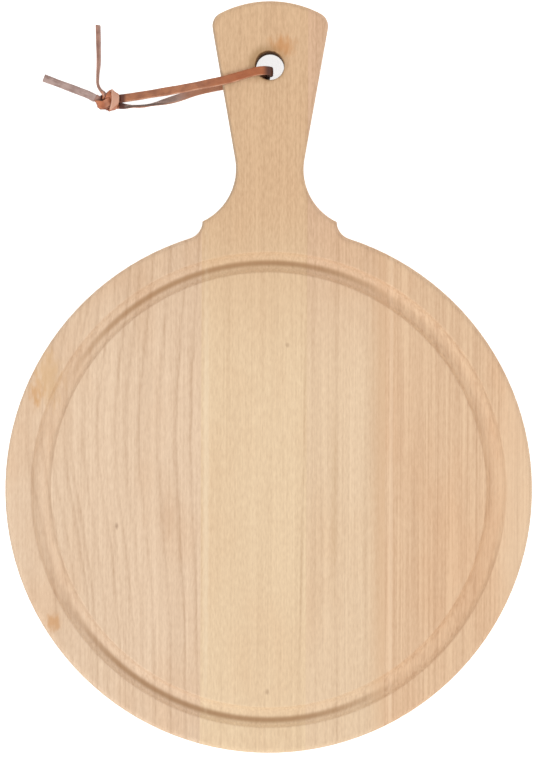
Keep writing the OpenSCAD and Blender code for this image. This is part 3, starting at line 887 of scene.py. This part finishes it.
@dataclass
class Board:
    """The board's five staves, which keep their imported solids."""

    left: BeechFinish = BeechFinish(
        "oiled_beech_left_stave", "f0d3b4", "a97e59", "dba777", "a57c54", "e3c2a1", 1.0,
        rings=((-137, 0.2), (-129, 0.2), (-123, 0.16), (-116.4, 0.24), (-112.6, 0.24),
               (-105.4, 0.14), (-96.8, 0.26), (-93.4, 0.14), (-87.5, 0.24), (-81.2, 0.2),
               (-73, 0.28), (-62.2, 0.3), (-52, 0.3), (-43.5, 0.28)),
        bow=(3.14, 0.17), wander=1.6, ripple=1.1, fleck=0.45, streak=0.38, band=0.25, seed=4.0,
        warmth=0.25, marks=(
            Mark(-126.0, -1.0, 12.0, 22.0, "d8ab70", 0.45),
            Mark(-132.0, -9.0, 6.0, 11.0, "cf9450", 0.55),
            Mark(-121.8, -139.7, 6.0, 7.0, "cd9152", 0.6),
            Mark(-86.3, -85.1, 1.2, 2.6, "7d5238", 0.5),
            Mark(-57.0, -80.0, 7.0, 17.0, "c79c77", 0.22)))
    handle: BeechFinish = BeechFinish(
        "oiled_beech_handle_stave", "f1d5af", "b08660", "e3b58a", "9f7549", "e0bb93", 1.0,
        rings=((-38.5, 0.16), (-22.5, 0.08), (-2.5, 0.08), (3.0, 0.07), (21.4, 0.25)),
        ring_rise=1.2, lean=0.0167, wander=0.2, ripple=0.15, fleck=0.5, streak=0.3, band=0.12,
        band_wide=8.0, seed=9.0, warmth=0.2, left_shade_share=0.5, marks=(
            Mark(-35.6, -60.0, 2.6, 170.0, "fae6c8", 0.3, 0.3, 0.5),
            Mark(6.5, 187.5, 10.0, 9.0, "cb8a4c", 0.7),
            Mark(-1.5, 178.0, 14.0, 13.0, "a07a4c", 0.7, 0.5, 0.3),
            Mark(-0.6, 177.5, 8.4, 8.4, "5f3a16", 0.9, 0.92, 0.1),
            Mark(10.2, 18.2, 1.8, 1.8, "8a6040", 0.35),
            Mark(-0.6, -179.4, 2.1, 2.5, "8a6040", 0.4)))
    middle: BeechFinish = BeechFinish(
        "oiled_beech_middle_stave", "efd2af", "ad825d", "dfb184", "a57c54", "dfb896", 1.0,
        rings=((26.5, 0.08), (39.6, 0.2), (55.8, 0.14), (59.6, 0.12), (63.0, 0.12)), ring_rise=2.4,
        wander=0.6, ripple=0.3, fleck=0.48, streak=0.42, band=0.2, seed=15.0, warmth=0.2,
        marks=(Mark(69.0, -64.0, 15.0, 400.0, "dcb188", 0.55, 0.2, 0.12),
               Mark(37.4, -70.0, 2.6, 75.0, "bd9569", 0.2, 0.3, 0.4)))
    right: BeechFinish = BeechFinish(
        "oiled_beech_right_stave", "ebc8a3", "a87650", "e2ae82", "a57c54", "e0bd98", 0.6,
        rings=((66.6, 0.1), (75.0, 0.12), (83.5, 0.12), (96.0, 0.14), (108.0, 0.14), (118.0, 0.16)),
        ring_rise=1.6, wander=1.0, ripple=0.3, fleck=0.42, streak=0.62, band=0.42, band_wide=2.6,
        seed=21.0, warmth=0.3, marks=(
            Mark(69.5, -64.0, 1.6, 300.0, "f3d3b2", 0.36, 0.3, 0.4),
            Mark(144.0, -64.0, 20.0, 130.0, "f6d9b6", 0.3, 0.35, 0.3)))

    def make(self, nodes: dict[str, bpy.types.Object]) -> None:
        """Put each stave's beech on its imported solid.

        Args:
            nodes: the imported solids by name.
        """
        dressed = {"left_stave": self.left, "handle_stave": self.handle,
                   "middle_stave": self.middle, "head_cheek": self.middle,
                   "right_stave": self.right}
        for node, finish in dressed.items():
            material = bpy.data.materials.get(finish.name) or finish.dress()
            mesh = nodes[node].data
            mesh.materials.clear()
            mesh.materials.append(material)
            LOG.info("%s: %s", node, finish.name)


@dataclass
class Studio:
    """A white ground, one broad soft lamp, white surroundings and the camera straight above.

    The eye, the view and the ground are in metres, and angles in degrees. The lamp's height is
    its angle above the ground. The room's levels are those from the side and from the top.
    """

    eye: Triple = (-0.00142, -0.0076, 1.7697)
    view_tall: float = 0.4436
    view_away: float = 1.75
    sensor: float = 36.0
    roll: float = 0.2
    lamp_from: float = 245.0
    lamp_height: float = 33.0
    lamp_angle: float = 25.0
    lamp_power: float = 0.85
    room_low: float = 0.79
    room_top: float = 0.882
    ground: float = 1.6
    ground_glow: float = 0.75
    paper: Lumps = Lumps((3.0, 3.0, 3.0), 3)

    def aim(self) -> None:
        """Make the camera.

        It looks straight down with its long side up the board, but for the small angle by which
        the board lies turned in the photograph.
        """
        lens = bpy.data.cameras.new("camera")
        lens.sensor_width = self.sensor
        lens.lens = self.sensor * self.view_away / self.view_tall
        camera = bpy.data.objects.new("camera", lens)
        camera.location = self.eye
        camera.rotation_euler = (0, 0, math.radians(self.roll))
        bpy.context.scene.collection.objects.link(camera)
        bpy.context.scene.camera = camera

    def light(self) -> None:
        """Make the lamp and the surroundings.

        The surroundings light the board at a level that rises from room_low at the side to
        room_top overhead, and show white to the camera, in reflections and through glass.
        """
        lamp = bpy.data.lights.new("soft_lamp", "SUN")
        lamp.energy = self.lamp_power
        lamp.angle = math.radians(self.lamp_angle)
        holder = bpy.data.objects.new("soft_lamp", lamp)
        # An unturned lamp shines straight down; it is tipped back by the rest of a right angle
        # from its height, then turned to where it stands.
        tip, turn = math.radians(90 - self.lamp_height), math.radians(self.lamp_from)
        holder.rotation_euler = (0, tip, turn)
        bpy.context.scene.collection.objects.link(holder)
        world = bpy.data.worlds.new("white_room")
        bpy.context.scene.world = world
        world.use_nodes = True
        tree = world.node_tree
        tree.nodes.clear()
        rays = add_node(tree, "LightPath").outputs
        seen = add_node(tree, "Math", {0: rays["Is Camera Ray"], 1: rays["Is Glossy Ray"]},
                        operation="MAXIMUM")
        seen = add_node(tree, "Math", {0: seen.outputs[0], 1: rays["Is Transmission Ray"]},
                        operation="MAXIMUM")
        where = add_node(tree, "SeparateXYZ", {0: add_node(tree, "TexCoord").outputs["Generated"]})
        soft = add_node(tree, "MapRange", {0: where.outputs[2], 3: self.room_low, 4: self.room_top})
        level = add_node(tree, "Mix", {0: seen.outputs[0], 2: soft.outputs[0], 3: 1.0})
        back = add_node(tree, "Background", {"Color": linear("ffffff"),
                                             "Strength": level.outputs[0]})
        add_node(tree, "OutputWorld", {"Surface": back.outputs[0]})

    def floor(self) -> None:
        """Lay the white ground.

        It is matt white paper, whose tooth of 3 mm is drawn far coarser than the real one. It
        glows for the camera and in reflections alone, so that it stays white to the eye and
        keeps the board's shadow.
        """
        reach = self.ground
        mesh = bpy.data.meshes.new("ground")
        mesh.from_pydata([(-reach, -reach, 0), (reach, -reach, 0), (reach, reach, 0),
                          (-reach, reach, 0)], [], [(0, 1, 2, 3)])
        sheet = Shades("white_paper_ground")
        rays = sheet.add("LightPath").outputs
        seen = sheet.math("MAXIMUM", rays["Is Camera Ray"], rays["Is Glossy Ray"])
        glow = sheet.add("Emission", {"Strength": sheet.math("MULTIPLY", seen, self.ground_glow)})
        tooth = sheet.ease(sheet.noise(self.paper), 0.3, 0.7)
        white = sheet.blend(tooth, linear("f2f2f2"), linear("f5f5f5"))
        plain = sheet.add("BsdfDiffuse", {"Color": white})
        both = sheet.add("AddShader", {0: glow.outputs[0], 1: plain.outputs[0]})
        sheet.add("OutputMaterial", {"Surface": both.outputs[0]})
        mesh.materials.append(sheet.material)
        ground = bpy.data.objects.new("ground", mesh)
        bpy.context.scene.collection.objects.link(ground)


def main() -> None:
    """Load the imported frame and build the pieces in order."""
    logging.basicConfig(level=logging.INFO, format="%(name)s %(message)s")
    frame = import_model()
    studio = Studio()
    studio.aim()
    Lace().make()
    Board().make(frame["nodes"])
    studio.light()
    studio.floor()
    bpy.context.scene.view_settings.view_transform = "Standard"
    bpy.context.view_layer.update()


if __name__ == "__main__":
    main()
